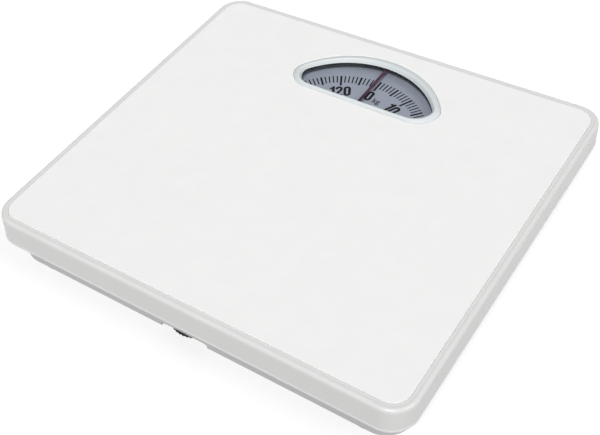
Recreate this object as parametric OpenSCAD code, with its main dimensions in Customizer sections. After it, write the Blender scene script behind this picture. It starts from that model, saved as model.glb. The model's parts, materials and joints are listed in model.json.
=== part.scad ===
// Low mechanical platform scale with a turning dial, read through a window.
// X runs to the right of a person who faces the dial, Y runs towards the dial, Z is up.
// The origin is on the floor, under the middle of the cover. Millimetres.

/* [Cover] */
// Outer width of the cover, left to right
cover_w = 270; // [250:1:300]
// Outer depth of the cover, front to back
cover_d = 248.7; // [235:0.1:280]
// Corner radius of the cover, seen from above
cover_r = 15; // [10:0.5:25]
// Height of the top of the mat over the floor
mat_top = 41; // [41:0.5:48]
// How far the rim stands over the mat
rim_rise = 0; // [0:0.1:1]
// Rounding of the rim's outer edge
rim_round = 1.8; // [1.2:0.1:2.4]
// Height of the lower edge of the skirt over the floor
skirt_z = 24.5; // [18:0.1:25]
// How far the skirt's lower edge stands out at the left and right
flare_x = 0.5; // [0:0.1:2]
// How far the skirt's lower edge stands out at the front and back
flare_y = 1.9; // [0:0.1:3]
// Sheet thickness of the cover
cover_t = 1.2; // [0.8:0.1:1.6]
// Width of the rim outside the mat
rim_w = 4.7; // [3.5:0.1:8]
// Thickness of the mat
mat_t = 1.2; // [0.8:0.1:2]

/* [Base] */
// Distance from the cover's outer face to the base's outer face
base_inset = 5.5; // [4:0.1:8]
// Corner radius of the base, seen from above
base_r = 16; // [8:0.5:18]
// Height of the underside of the base over the floor
base_z = 6.2; // [5:0.1:8]
// Height of the base's wall top over the floor
base_wall_z = 29; // [24:0.5:30]
// Sheet thickness of the base
base_t = 1.0; // [0.8:0.1:1.6]
// Radius of a foot pad
foot_r = 13; // [9:0.5:16]
// Distance of a foot from the middle plane, left to right
foot_x = 107; // [95:1:112]
// Distance of a foot from the middle plane, front to back
foot_y = 103.4; // [90:0.1:106]
// Width of the thumb arch in the front edge
arch_w = 31.6; // [28:0.2:40]
// Middle of the thumb arch, left to right
arch_x = -3; // [-6:0.5:0]
// Height of the thumb arch's top over the floor
arch_z = 9.6; // [9.6:0.1:12]

/* [Window and dial] */
// Middle of the dial, towards the far edge
dial_y = 40.2; // [36:0.05:42]
// Radius of the dial disc
dial_r = 67; // [60:0.5:70]
// Height of the dial's face over the floor
dial_z = 33.5; // [32:0.1:35.2]
// Half width of the window opening
win_hw = 45.4; // [40:0.1:46]
// Near edge of the window opening
win_y0 = 64.4; // [63:0.1:68]
// Far edge of the window opening
win_y1 = 102.5; // [98:0.1:103]
// Radius of the window opening's far arc
win_arc = 54; // [50:0.5:56]
// Radius of the window opening's near corners
win_rc = 12; // [9:0.5:15]
// Height of the bezel's top over the mat
bezel_rise = 1.4; // [0.6:0.1:1.6]

/* [Levers] */
// Fulcrum position, left to right
ful_x = 112; // [110:0.5:114]
// Fulcrum position, front to back
ful_y = 88; // [86:0.5:90]
// Nose of a long lever, left to right
nose_x = 19; // [18:0.5:20]
// Nose of a long lever, towards the front edge
nose_y = -97; // [-98:0.5:-96]
// Height of the lever pins over the floor
pin_z = 26; // [25.5:0.1:26.5]
// Distance from a fulcrum pin to its load pin
load_arm = 20; // [18:0.5:24]
// Radius of the lever pins
pin_r = 2; // [1.5:0.1:2.4]

/* [Zero setting] */
// Spindle position, left to right
zero_x = -4; // [-5:0.1:-3]
// Spindle position, front to back
zero_y = -104.5; // [-105:0.1:-104]
// Radius of the thumbwheel
wheel_r = 15.5; // [14:0.1:16]
// Radius of the spindle
spindle_r = 2.5; // [2:0.1:3]

/* [Rack and crank] */
// Height of the crank pin over the floor
crank_z = 12.95; // [12.5:0.05:13.5]
// Crank pin position, front to back
crank_y = -70; // [-72:0.5:-68]
// Middle plane of the crank, left to right
crank_x = -4.6; // [-5:0.1:-4]
// Module of the rack and pinion
gear_m = 0.5; // [0.4:0.05:0.6]
// Teeth of the pinion
gear_n = 8; // [8:1:10]

/* [Hidden] */
$fn = 64;
floor_z = base_z + base_t;
base_w = cover_w - 2 * base_inset;
base_d = cover_d - 2 * base_inset;
mat_w = cover_w - 2 * rim_w;
mat_d = cover_d - 2 * rim_w;
mat_r = 10.3;
plate_z = mat_top - mat_t;
under_z = plate_z - cover_t;
rim_z = mat_top + rim_rise;
lens_z = 38.4;
lip_z = 39.6;
collar_z = 37.8;
lever_len = norm([ful_x - nose_x, ful_y - nose_y]);
lever_c = (nose_x - ful_x) / lever_len;
lever_s = (nose_y - ful_y) / lever_len;
cross_s = ful_y * lever_len / (ful_y - nose_y);
pitch_r = gear_m * gear_n / 2;
pitch = PI * gear_m;
press_ang = 30;
tooth_add = 0.38;
tooth_ded = 0.55;
tooth_s = pitch / 2 - 0.08;
rack_z0 = 27.4;
rack_z1 = 28.8;
swing = 22.5;
plate_top = pin_z - 2.2;

// ---- helpers ----

// rounded rectangle about the origin
module rrect(w, d, r) {
  square([w - 2 * r, d], center = true);
  square([w, d - 2 * r], center = true);
  for (sx = [-1, 1], sy = [-1, 1])
    translate([sx * (w / 2 - r), sy * (d / 2 - r)]) circle(r);
}

// plan rectangle whose upper corners are turned from one profile, and whose sides stand out
// by fx and fy at their lower edge, which is at z0
module flared_hull(w, d, r, z0, fx, fy) {
  hull() {
    for (sx = [-1, 1], sy = [-1, 1])
      translate([sx * (w / 2 - r), sy * (d / 2 - r), 0]) rotate_extrude() children();
    translate([0, 0, z0]) linear_extrude(0.5)
      rrect(w + 2 * fx, d + 2 * fy, r + (fx + fy) / 3);
  }
}

// window outline: straight near edge with rounded corners, one far arc
module window_shape(hw, y0, y1, arc, rc) {
  intersection() {
    translate([0, y1 - arc]) circle(arc, $fn = 128);
    translate([0, y0 + 40]) rrect(2 * hw, 80, rc);
  }
}

// window outline grown by the same amount all round
module window_grown(g) {
  window_shape(win_hw + g, win_y0 - g, win_y1 + g, win_arc + g, win_rc + g);
}

// block between two corners
module box(a, b) {
  translate(a) cube(b - a);
}

// profile in Y and Z, from x0 to x1
module across(x0, x1) {
  translate([x0, 0, 0]) rotate([90, 0, 90]) linear_extrude(x1 - x0) children();
}

// profile in the X and Z of a lever's own frame, from y0 to y1
module athwart(y0, y1) {
  translate([0, y1, 0]) rotate([90, 0, 0]) linear_extrude(y1 - y0) children();
}

// round wire coiled about Z, its first section's middle at height 0
module coil(rad, wire, rise, turns, per_turn, sides) {
  n = round(turns * per_turn);
  pts = [for (i = [0 : n], j = [0 : sides - 1])
    let (t = 360 * turns * i / n, a = 360 * j / sides, q = rad + wire * cos(a))
    [q * cos(t), q * sin(t), rise * i / n + wire * sin(a)]];
  sides_f = [for (i = [0 : n - 1], j = [0 : sides - 1])
    let (k = (j + 1) % sides, a = i * sides + j, b = i * sides + k,
      c = (i + 1) * sides + k, d = (i + 1) * sides + j)
    each [[a, b, c], [a, c, d]]];
  cap0 = [for (j = [1 : sides - 2]) [0, j + 1, j]];
  cap1 = [for (j = [1 : sides - 2]) [n * sides, n * sides + j, n * sides + j + 1]];
  polyhedron(points = pts, faces = concat(sides_f, cap0, cap1));
}

// frames of the levers: X along the lever from its fulcrum, Z up, at the height of the pins
module long_frame(side) {
  translate([side * ful_x, ful_y, pin_z])
    rotate([0, 0, atan2(lever_s, side * lever_c)]) children();
}

module short_frame(side) {
  translate([side * ful_x, -ful_y, pin_z])
    rotate([0, 0, atan2(-lever_s, side * lever_c)]) children();
}

module each_corner() {
  for (side = [-1, 1]) {
    long_frame(side) children();
    short_frame(side) children();
  }
}

// screw or rivet that holds a bracket to the floor of the base, with its head below
module fixing(r, head_r, top, recess = false) {
  difference() {
    union() {
      translate([0, 0, base_z - 1.0]) cylinder(r1 = head_r - 0.6, r2 = head_r, h = 0.5);
      translate([0, 0, base_z - 0.5]) cylinder(r = head_r, h = 0.5);
    }
    if (recess) for (a = [0, 90]) rotate(a)
      translate([-1.7, -0.35, base_z - 1.5]) cube([3.4, 0.7, 1.0]);
  }
  translate([0, 0, base_z - 0.3]) cylinder(r = r, h = top - base_z + 0.3);
}

// involute of the pinion's base circle, turned so that the tooth's middle is on the X axis
function inv(a) = tan(a) - a * PI / 180;
function flank(r) =
  let (rb = pitch_r * cos(press_ang), a = r > rb ? acos(rb / r) : 0)
  tooth_s / (2 * pitch_r) * 180 / PI + (inv(press_ang) - inv(a)) * 180 / PI;

module pinion_shape() {
  ra = pitch_r + tooth_add;
  rf = pitch_r - tooth_ded;
  rb = pitch_r * cos(press_ang);
  rs = [for (i = [0 : 4]) rb + (ra - rb) * i / 4];
  polygon([for (k = [0 : gear_n - 1])
    let (m = 180 + 360 * k / gear_n)
    each concat(
      [[rf * cos(m - flank(rb)), rf * sin(m - flank(rb))]],
      [for (r = rs) [r * cos(m - flank(r)), r * sin(m - flank(r))]],
      [for (i = [4 : -1 : 0]) [rs[i] * cos(m + flank(rs[i])), rs[i] * sin(m + flank(rs[i]))]],
      [[rf * cos(m + flank(rb)), rf * sin(m + flank(rb))]])]);
}

// ---- base ----

// pressed stiffening bead with round ends, along X or along Y
module bead(x, y, len, wide, turn, grow) {
  translate([x, y]) rotate(turn) {
    square([len, wide + 2 * grow], center = true);
    for (s = [-1, 1]) translate([s * len / 2, 0]) circle(wide / 2 + grow);
  }
}

module beads(grow) {
  for (s = [-1, 1]) bead(s * 66, -6, 120, 10, 90, grow);
  bead(0, 84, 86, 9, 0, grow);
  bead(0, -2, 76, 9, 0, grow);
  bead(0, -36, 60, 9, 0, grow);
}

module base_pan() {
  color([0.86, 0.87, 0.87])
  difference() {
    union() {
      difference() {
        translate([0, 0, base_z]) linear_extrude(base_wall_z - base_z)
          rrect(base_w, base_d, base_r);
        translate([0, 0, floor_z]) linear_extrude(40)
          rrect(base_w - 2 * base_t, base_d - 2 * base_t, base_r - base_t);
      }
      translate([0, 0, floor_z - 0.3]) linear_extrude(1.5) beads(0);
    }
    translate([0, 0, base_z - 1]) linear_extrude(2.2) beads(-1.0);
    // thumb arch: through the front wall and a strip of the floor behind it
    translate([arch_x, -base_d / 2, 0]) rotate([90, 0, 0]) translate([0, 0, -2.6])
      linear_extrude(5) {
        translate([-arch_w / 2, 0]) square([arch_w, arch_z - 2.4]);
        translate([-arch_w / 2 + 2.4, 0]) square([arch_w - 4.8, arch_z]);
        for (s = [-1, 1]) translate([s * (arch_w / 2 - 2.4), arch_z - 2.4]) circle(2.4);
      }
    translate([arch_x, -base_d / 2 + 2, base_z - 1]) linear_extrude(3)
      rrect(arch_w, 8, 2.5);
    // spindle bush
    translate([zero_x, zero_y, 0]) cylinder(r = 4.05, h = 20);
    // feet
    for (sx = [-1, 1], sy = [-1, 1])
      translate([sx * foot_x, sy * foot_y, 0]) cylinder(r = 1.55, h = 20);
    // corner posts
    each_corner() for (s = [-1, 1]) translate([3.4, s * 4, -pin_z]) cylinder(r = 1.55, h = 20);
    // brackets
    for (p = bracket_holes()) translate([p[0], p[1], 0]) cylinder(r = 1.65, h = 20);
  }
}

function dial_holes() = [for (sx = [-1, 1], sy = [-1, 1]) [sx * 42, dial_y + sy * 5]];
function wheel_holes() = [[zero_x - 24.5, zero_y], [zero_x + 24.5, zero_y]];
function crank_holes() = [[crank_x - 9.9, crank_y + 2], [crank_x + 9.9, crank_y + 2]];
function bracket_holes() = concat(dial_holes(), wheel_holes(), crank_holes());

module foot_pads() {
  color([0.82, 0.83, 0.83])
  for (sx = [-1, 1], sy = [-1, 1]) translate([sx * foot_x, sy * foot_y, 0])
    difference() {
      union() {
        cylinder(r1 = foot_r - 1.2, r2 = foot_r - 0.4, h = 0.8);
        translate([0, 0, 0.8]) cylinder(r1 = foot_r - 0.4, r2 = foot_r, h = base_z - 0.8);
      }
      translate([0, 0, -1]) cylinder(r = 3.4, h = 3.5);
      cylinder(r = 1.55, h = 20);
    }
}

module foot_rivets() {
  color([0.75, 0.75, 0.76])
  for (sx = [-1, 1], sy = [-1, 1]) translate([sx * foot_x, sy * foot_y, 0]) {
    translate([0, 0, 1.6]) cylinder(r = 3, h = 0.9);
    translate([0, 0, 2]) cylinder(r = 1.5, h = floor_z - 2 + 0.4);
    translate([0, 0, floor_z]) cylinder(r = 3.2, h = 1);
  }
}

module fulcrum_posts() {
  color([0.72, 0.74, 0.76])
  each_corner() difference() {
    union() {
      box([-6, -8.7, floor_z - pin_z], [7, 8.7, floor_z - pin_z + 1.5]);
      for (s = [-1, 1]) translate([0, s * 7.95, 0]) {
        box([-5, -0.75, floor_z - pin_z + 1], [5, 0.75, 0]);
        rotate([90, 0, 0]) cylinder(r = 5, h = 1.5, center = true);
      }
    }
    rotate([90, 0, 0]) cylinder(r = pin_r + 0.05, h = 40, center = true);
    for (s = [-1, 1]) translate([3.4, s * 4, -pin_z]) cylinder(r = 1.55, h = 20);
  }
}

module post_rivets() {
  color([0.75, 0.75, 0.76])
  each_corner() for (s = [-1, 1]) translate([3.4, s * 4, -pin_z]) {
    fixing(1.5, 2.6, floor_z + 2);
    translate([0, 0, floor_z + 1.5]) cylinder(r = 2.5, h = 1);
  }
}

module wheel_bracket() {
  color([0.72, 0.74, 0.76])
  translate([zero_x, zero_y, 0]) difference() {
    union() {
      box([-20, -6, 12.4], [20, 6, 13.4]);
      for (s = [-1, 1]) {
        translate([s * 19.5, 0, 0]) box([-0.5, -6, floor_z], [0.5, 6, 13]);
        translate([s * 24, 0, 0]) box([-5, -6, floor_z], [5, 6, floor_z + 1]);
      }
    }
    translate([0, 0, 10]) cylinder(r = spindle_r + 0.05, h = 10);
    for (s = [-1, 1]) translate([s * 24.5, 0, 0]) cylinder(r = 1.65, h = 11);
  }
}

module wheel_bracket_screws() {
  color([0.75, 0.75, 0.76])
  for (p = wheel_holes()) translate([p[0], p[1], 0]) {
    fixing(1.6, 3, floor_z + 3, true);
    translate([0, 0, floor_z + 1]) cylinder(r = 2.7, h = 1.6, $fn = 6);
  }
}

module spindle_bush() {
  color([0.78, 0.62, 0.32])
  translate([zero_x, zero_y, 0]) difference() {
    union() {
      translate([0, 0, base_z - 0.6]) cylinder(r = 4, h = base_t + 0.6);
      translate([0, 0, floor_z]) cylinder(r = 6, h = 0.5);
      translate([0, 0, base_z - 0.6]) cylinder(r = 5.4, h = 0.6);
    }
    translate([0, 0, base_z]) cylinder(r = spindle_r + 0.05, h = 10);
  }
}

module crank_bracket() {
  color([0.72, 0.74, 0.76])
  difference() {
    union() {
      box([crank_x - 13.4, crank_y - 4, floor_z], [crank_x + 13.4, crank_y + 8, floor_z + 1.2]);
      for (s = [-1, 1]) translate([crank_x + s * 4.5, crank_y, 0]) {
        box([-0.7, -4, floor_z + 1], [0.7, 4, crank_z]);
        translate([0, 0, crank_z]) rotate([0, 90, 0]) cylinder(r = 4, h = 1.4, center = true);
      }
    }
    translate([crank_x, crank_y, crank_z]) rotate([0, 90, 0])
      cylinder(r = 1.52, h = 40, center = true);
    for (p = crank_holes()) translate([p[0], p[1], 0]) cylinder(r = 1.65, h = 11);
  }
}

module crank_bracket_screws() {
  color([0.75, 0.75, 0.76])
  for (p = crank_holes()) translate([p[0], p[1], 0]) {
    fixing(1.6, 3, floor_z + 3.2, true);
    translate([0, 0, floor_z + 1.2]) cylinder(r = 2.7, h = 1.6, $fn = 6);
  }
}

module crank_pin() {
  color([0.78, 0.78, 0.8])
  translate([crank_x, crank_y, crank_z]) rotate([0, 90, 0]) {
    cylinder(r = 1.5, h = 12, center = true);
    translate([0, 0, 5.3]) cylinder(r = 2.3, h = 0.9);
    translate([0, 0, -6.2]) cylinder(r = 2.3, h = 0.9);
  }
}

module dial_bracket() {
  color([0.72, 0.74, 0.76])
  difference() {
    translate([0, dial_y, 0]) {
      box([-36, -9, 22.5], [36, 9, 24.5]);
      for (s = [-1, 1]) {
        translate([s * 35, 0, 0]) box([-1, -9, floor_z], [1, 9, 23.5]);
        translate([s * 41.5, 0, 0]) box([-7.5, -9, floor_z], [7.5, 9, floor_z + 1.5]);
      }
    }
    translate([0, dial_y, 10]) cylinder(r = 4.03, h = 30);
    for (p = dial_holes()) translate([p[0], p[1], 0]) cylinder(r = 1.65, h = 11);
    // lightening holes
    for (s = [-1, 1]) translate([s * 21, dial_y, 20]) cylinder(r = 5, h = 10);
  }
}

module dial_bracket_screws() {
  color([0.75, 0.75, 0.76])
  for (p = dial_holes()) translate([p[0], p[1], 0]) {
    fixing(1.6, 3, floor_z + 3.5, true);
    translate([0, 0, floor_z + 1.5]) cylinder(r = 2.7, h = 1.6, $fn = 6);
  }
}

module dial_bush() {
  color([0.78, 0.62, 0.32])
  translate([0, dial_y, 0]) difference() {
    union() {
      translate([0, 0, 13]) cylinder(r = 4, h = 12.5);
      translate([0, 0, 20.5]) cylinder(r = 6, h = 2);
    }
    translate([0, 0, 10]) cylinder(r = 1.55, h = 30);
  }
}

module rack_guide() {
  color([0.72, 0.74, 0.76])
  translate([0, dial_y, 0]) {
    box([-12, -6, 24.5], [-4.4, 6, rack_z0 - 0.3]);
    box([-9.2, -6, 26], [-7.5, 6, rack_z1 + 1.4]);
    box([-9.2, -6, rack_z1 + 0.4], [-5.0, 6, rack_z1 + 1.4]);
  }
}

module return_anchor() {
  color([0.72, 0.74, 0.76])
  translate([-4.9, 0, 0]) difference() {
    union() {
      box([-5, 90, floor_z], [5, 99.2, floor_z + 1.2]);
      box([-3, 98, floor_z], [3, 99.2, 29.9]);
    }
    translate([0, 98, 28.1]) rotate([90, 0, 0]) cylinder(r = 0.9, h = 10, center = true);
  }
}

module base_hooks() {
  color([0.72, 0.74, 0.76])
  for (sx = [-1, 1], sy = [-1, 1]) translate([sx * 119, sy * 35, 0]) {
    box([-4, -4, floor_z], [4, 4, floor_z + 1]);
    translate([sx * 3.4, 0, 0]) box([-0.6, -4, floor_z], [0.6, 4, 12.6]);
    box([-3.6, -1.5, 11.4], [3.6, 1.5, 12.6]);
  }
}

// ---- platform ----

module platform_cover() {
  color([0.93, 0.93, 0.92])
  difference() {
    flared_hull(cover_w, cover_d, cover_r, skirt_z, flare_x, flare_y) polygon(concat(
      [[0, rim_z], [0, rim_z - rim_round]],
      [for (i = [6 : -1 : 0]) [cover_r - rim_round * (1 - sin(15 * i)),
        rim_z - rim_round * (1 - cos(15 * i))]]));
    // inside, with the doubled hem along the lower edge
    flared_hull(cover_w - 2 * cover_t, cover_d - 2 * cover_t, cover_r - cover_t, skirt_z + 3,
      0.75 * flare_x, 0.75 * flare_y)
      translate([0, under_z - 0.5]) square([cover_r - cover_t, 0.5]);
    translate([0, 0, skirt_z - 1]) linear_extrude(5)
      rrect(cover_w + 2 * flare_x - 4.2, cover_d + 2 * flare_y - 4.2,
        cover_r + (flare_x + flare_y) / 3 - 2.1);
    // recess for the mat, and the shallow channel round it
    translate([0, 0, plate_z]) linear_extrude(10) rrect(mat_w + 0.4, mat_d + 0.4, mat_r + 0.2);
    translate([0, 0, mat_top - 0.5]) linear_extrude(10)
      rrect(mat_w + 6.4, mat_d + 6.4, mat_r + 3.2);
    // window
    translate([0, 0, under_z - 1]) linear_extrude(10)
      window_shape(win_hw + 2.7, win_y0 - 2.2, win_y1 + 3.2, win_arc + 2, win_rc + 2.2);
  }
}

module platform_mat() {
  color([0.95, 0.95, 0.94])
  translate([0, 0, plate_z]) linear_extrude(mat_t) difference() {
    rrect(mat_w, mat_d, mat_r);
    window_shape(win_hw + 5.6, win_y0 - 3.1, win_y1 + 6.3, win_arc + 3.2, win_rc + 3.2);
  }
}

module window_bezel() {
  color([0.88, 0.91, 0.92])
  difference() {
    union() {
      translate([0, 0, plate_z]) linear_extrude(mat_t + 0.2)
        window_shape(win_hw + 5.4, win_y0 - 2.9, win_y1 + 6.1, win_arc + 3, win_rc + 3);
      translate([0, 0, plate_z]) linear_extrude(mat_t + bezel_rise)
        window_shape(win_hw + 2.4, win_y0 - 1.6, win_y1 + 2.8, win_arc + 1.6, win_rc + 2);
      translate([0, 0, collar_z]) linear_extrude(plate_z - collar_z + 0.5)
        window_shape(win_hw + 2.5, win_y0 - 2, win_y1 + 3, win_arc + 1.8, win_rc + 2);
    }
    translate([0, 0, 30]) linear_extrude(20) window_grown(0);
    // bore for the lens and its retainer, below a narrow lip
    translate([0, 0, 30]) linear_extrude(lip_z - 30) window_grown(1.3);
  }
}

module window_lens() {
  color([0.85, 0.92, 0.95, 0.35])
  translate([0, 0, lens_z]) linear_extrude(lip_z - 0.02 - lens_z) window_grown(0.95);
}

// dark ring pressed into the bezel's bore, with a rebate for the lens
module lens_retainer() {
  color([0.08, 0.09, 0.1])
  difference() {
    translate([0, 0, collar_z]) linear_extrude(lip_z - 0.02 - collar_z) window_grown(1.28);
    translate([0, 0, 30]) linear_extrude(20) window_grown(0);
    translate([0, 0, lens_z]) linear_extrude(20) window_grown(0.98);
    // notches for the ends of the pointer
    box([-1.05, win_y0 - 0.97, lens_z - 0.32], [1.05, win_y1 + 0.97, lens_z + 0.5]);
  }
}

module pointer_line() {
  color([0.55, 0.08, 0.1])
  box([-0.95, win_y0 - 0.8, lens_z - 0.3], [0.95, win_y1 + 0.8, lens_z]);
}

module cover_saddles() {
  color([0.72, 0.74, 0.76])
  each_corner() translate([load_arm, 0, 0]) difference() {
    union() {
      box([-6, -12, under_z - pin_z - 1.6], [6, 12, under_z - pin_z]);
      for (s = [-1, 1]) translate([0, s * 7.95, 0])
        box([-5, -0.75, -3.2], [5, 0.75, under_z - pin_z - 1]);
    }
    translate([0, 0, 0.05]) rotate([90, 0, 0])
      cylinder(r = pin_r + 0.1, h = 40, center = true);
    box([-pin_r - 0.1, -20, -10], [pin_r + 0.1, 20, 0.05]);
  }
}

module cover_hooks() {
  color([0.72, 0.74, 0.76])
  for (sx = [-1, 1], sy = [-1, 1]) translate([sx * 119, sy * 35, 0]) {
    box([-4, -4, under_z - 1], [4, 4, under_z]);
    translate([sx * 3.4, 0, 0]) box([-0.6, -4, 33.4], [0.6, 4, under_z - 0.5]);
    box([-3.6, -1.5, 33.4], [3.6, 1.5, 34.6]);
  }
}

module retaining_springs() {
  color([0.7, 0.71, 0.73])
  for (sx = [-1, 1], sy = [-1, 1]) translate([sx * 119, sy * 35, 13.05])
    coil(2.4, 0.35, 19.9, 12, 9, 5);
}

// ---- levers ----

module channel(x0, x1, top) {
  difference() {
    box([x0, -6, -4.7], [x1, 6, top]);
    box([x0 - 1, -4.4, -6], [x1 + 1, 4.4, top - 1.6]);
    for (x = [0, load_arm]) translate([x, 0, 0]) rotate([90, 0, 0])
      cylinder(r = pin_r + 0.02, h = 40, center = true);
  }
}

module lever_pins() {
  for (x = [0, load_arm]) translate([x, 0, 0]) rotate([90, 0, 0])
    cylinder(r = pin_r, h = 19.4, center = true);
}

module long_lever() {
  color([0.66, 0.68, 0.7]) {
    channel(-9, lever_len - 15, 3.8);
    box([lever_len - 29, -3.5, -1.2], [lever_len - 7, 3.5, 3]);
    athwart(-3.5, 3.5) {
      translate([lever_len - 8, -1.2]) square([13, 2.2]);
      translate([lever_len, -0.5]) circle(1.5);
    }
  }
}

module short_lever() {
  color([0.66, 0.68, 0.7]) {
    channel(-9, cross_s - 13.5, 4.0);
    box([cross_s - 28, -3.5, 3], [cross_s - 14, 3.5, 6.4]);
    box([cross_s - 28, -3.5, 4.6], [cross_s + 5, 3.5, 6.4]);
    translate([cross_s, 0, 4.05]) cylinder(r = 1.5, h = 1.5);
  }
}

module long_lever_left() { long_frame(-1) long_lever(); }
module long_lever_right() { long_frame(1) long_lever(); }
module short_lever_left() { short_frame(-1) short_lever(); }
module short_lever_right() { short_frame(1) short_lever(); }
module long_pins_left() { color([0.8, 0.8, 0.82]) long_frame(-1) lever_pins(); }
module long_pins_right() { color([0.8, 0.8, 0.82]) long_frame(1) lever_pins(); }
module short_pins_left() { color([0.8, 0.8, 0.82]) short_frame(-1) lever_pins(); }
module short_pins_right() { color([0.8, 0.8, 0.82]) short_frame(1) lever_pins(); }

// ---- calibrating plate and main spring ----

module cal_plate() {
  color([0.7, 0.72, 0.74])
  difference() {
    union() {
      translate([0, 0, plate_top - 1.5]) linear_extrude(1.5) {
        translate([-26, nose_y - 6]) square([52, 12]);
        translate([zero_x, zero_y]) circle(11);
        translate([crank_x - 4.6, nose_y + 5]) square([9.2, 8]);
      }
      box([crank_x - 4.6, nose_y + 11.8, 18.6], [crank_x + 4.6, nose_y + 13, plate_top - 0.5]);
      box([crank_x - 4.6, nose_y + 11.8, 18.6], [crank_x + 4.6, crank_y - 8, 20.1]);
    }
    translate([zero_x, zero_y, 0]) cylinder(r = spindle_r + 0.1, h = 60);
  }
}

module spring_anchor() {
  color([0.78, 0.62, 0.32])
  translate([zero_x, zero_y, plate_top]) difference() {
    union() {
      cylinder(r = 8.2, h = 1);
      cylinder(r = 4.7, h = 3.2);
    }
    translate([0, 0, -1]) cylinder(r = spindle_r + 0.1, h = 10);
  }
}

module main_spring() {
  color([0.6, 0.61, 0.63])
  translate([zero_x, zero_y, plate_top + 1.95]) coil(5.75, 0.9, 8.1, 4.25, 22, 8);
}

// ---- crank and rack ----

module crank_lever() {
  color([0.72, 0.74, 0.76])
  difference() {
    union() {
      translate([0, crank_y, crank_z]) {
        across(crank_x - 0.8, crank_x + 0.8) {
          circle(3.5);
          rotate(180 - swing) polygon([[0, -2.2], [8.6, 0.1], [10.8, 0.1], [10.8, 1.2], [0, 3]]);
          rotate(180 - swing) translate([10.8, 0]) circle(1.2);
          rotate(90 - swing) translate([0, -2]) square([17.6, 4]);
        }
        across(crank_x - 3.5, crank_x + 3.5) circle(3.2);
      }
    }
    translate([crank_x, crank_y, crank_z]) rotate([0, 90, 0])
      cylinder(r = 1.54, h = 40, center = true);
  }
}

module rack_strip() {
  slot_y = crank_y + (28.1 - crank_z) * tan(swing);
  root = -pitch_r - tooth_ded;
  tip = -pitch_r + tooth_add;
  half = tooth_s / 2;
  t = tan(press_ang);
  color([0.78, 0.62, 0.32])
  translate([0, 0, rack_z0]) linear_extrude(rack_z1 - rack_z0) difference() {
    union() {
      translate([-7.2, slot_y + 3]) square([7.2 + root, dial_y + 22 - slot_y - 3]);
      translate([crank_x - 4.4, slot_y - 6]) square([8.8, 12]);
      for (k = [-4 : gear_n + 3])
        translate([0, dial_y + (k + 0.5) * pitch])
          polygon([
            [root - 0.2, -half - tooth_ded * t], [root, -half - tooth_ded * t],
            [tip, -half + tooth_add * t], [tip, half - tooth_add * t],
            [root, half + tooth_ded * t], [root - 0.2, half + tooth_ded * t]]);
    }
    translate([crank_x - 1.15, slot_y - 2.85]) square([2.3, 5.7]);
    translate([-4.9, dial_y + 20]) circle(0.9);
  }
}

module return_spring() {
  color([0.7, 0.71, 0.73])
  translate([-4.9, dial_y + 22.4, 28.1]) rotate([-90, 0, 0])
    coil(1.6, 0.25, 97.65 - dial_y - 22.4, 20, 8, 5);
}

// ---- dial ----

module dial_disc() {
  color([0.75, 0.78, 0.84])
  translate([0, dial_y, dial_z - 0.8]) difference() {
    cylinder(r = dial_r, h = 0.8, $fn = 128);
    translate([0, 0, -1]) cylinder(r = 1.27, h = 5);
  }
}

module dial_hub() {
  color([0.25, 0.25, 0.27])
  translate([0, dial_y, 0]) difference() {
    translate([0, 0, 29.75]) cylinder(r = 4.5, h = dial_z - 0.8 - 29.75);
    translate([0, 0, 20]) cylinder(r = 1.27, h = 30);
  }
}

module pinion_shaft() {
  color([0.78, 0.62, 0.32])
  translate([0, dial_y, 0]) {
    translate([0, 0, 12.5]) cylinder(r = 1.5, h = 13.8);
    translate([0, 0, 26]) linear_extrude(3.6) pinion_shape();
    translate([0, 0, 29]) cylinder(r = 1.25, h = dial_z + 1.3 - 29);
  }
}

module dial_cap() {
  color([0.25, 0.25, 0.27])
  translate([0, dial_y, dial_z]) difference() {
    cylinder(r = 4.5, h = 1.8);
    translate([0, 0, -1]) cylinder(r = 1.27, h = 2.4);
  }
}

// ---- zero setting ----

module zero_wheel() {
  color([0.1, 0.1, 0.11])
  translate([zero_x, zero_y, 7.9]) difference() {
    union() {
      linear_extrude(1.4) difference() {
        circle(wheel_r);
        for (k = [0 : 39]) rotate(9 * k) translate([wheel_r + 0.25, 0]) circle(0.7, $fn = 24);
      }
      cylinder(r = 8, h = 4.1);
    }
    translate([0, 0, -1]) cylinder(r = spindle_r + 0.02, h = 10);
  }
}

module adjusting_spindle() {
  color([0.72, 0.73, 0.75])
  translate([zero_x, zero_y, base_z + 0.1]) cylinder(r = spindle_r, h = 37 - base_z - 0.1);
}

module spring_plug() {
  color([0.78, 0.62, 0.32])
  translate([zero_x, zero_y, 0]) difference() {
    union() {
      translate([0, 0, 34.8]) cylinder(r = 8.2, h = 1.2);
      translate([0, 0, 32.3]) cylinder(r = 4.7, h = 3);
    }
    translate([0, 0, 30]) cylinder(r = spindle_r + 0.05, h = 10);
  }
}

base_pan();
foot_pads();
foot_rivets();
fulcrum_posts();
post_rivets();
wheel_bracket();
wheel_bracket_screws();
spindle_bush();
crank_bracket();
crank_bracket_screws();
crank_pin();
dial_bracket();
dial_bracket_screws();
dial_bush();
rack_guide();
return_anchor();
base_hooks();
platform_cover();
platform_mat();
window_bezel();
window_lens();
lens_retainer();
pointer_line();
cover_saddles();
cover_hooks();
retaining_springs();
long_lever_left();
long_pins_left();
long_lever_right();
long_pins_right();
short_lever_left();
short_pins_left();
short_lever_right();
short_pins_right();
cal_plate();
spring_anchor();
main_spring();
crank_lever();
rack_strip();
return_spring();
dial_disc();
dial_hub();
pinion_shaft();
dial_cap();
zero_wheel();
adjusting_spindle();
spring_plug();
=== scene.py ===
import json
import math

import bmesh
import bpy
import numpy as np
from mathutils import Matrix, Vector


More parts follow.
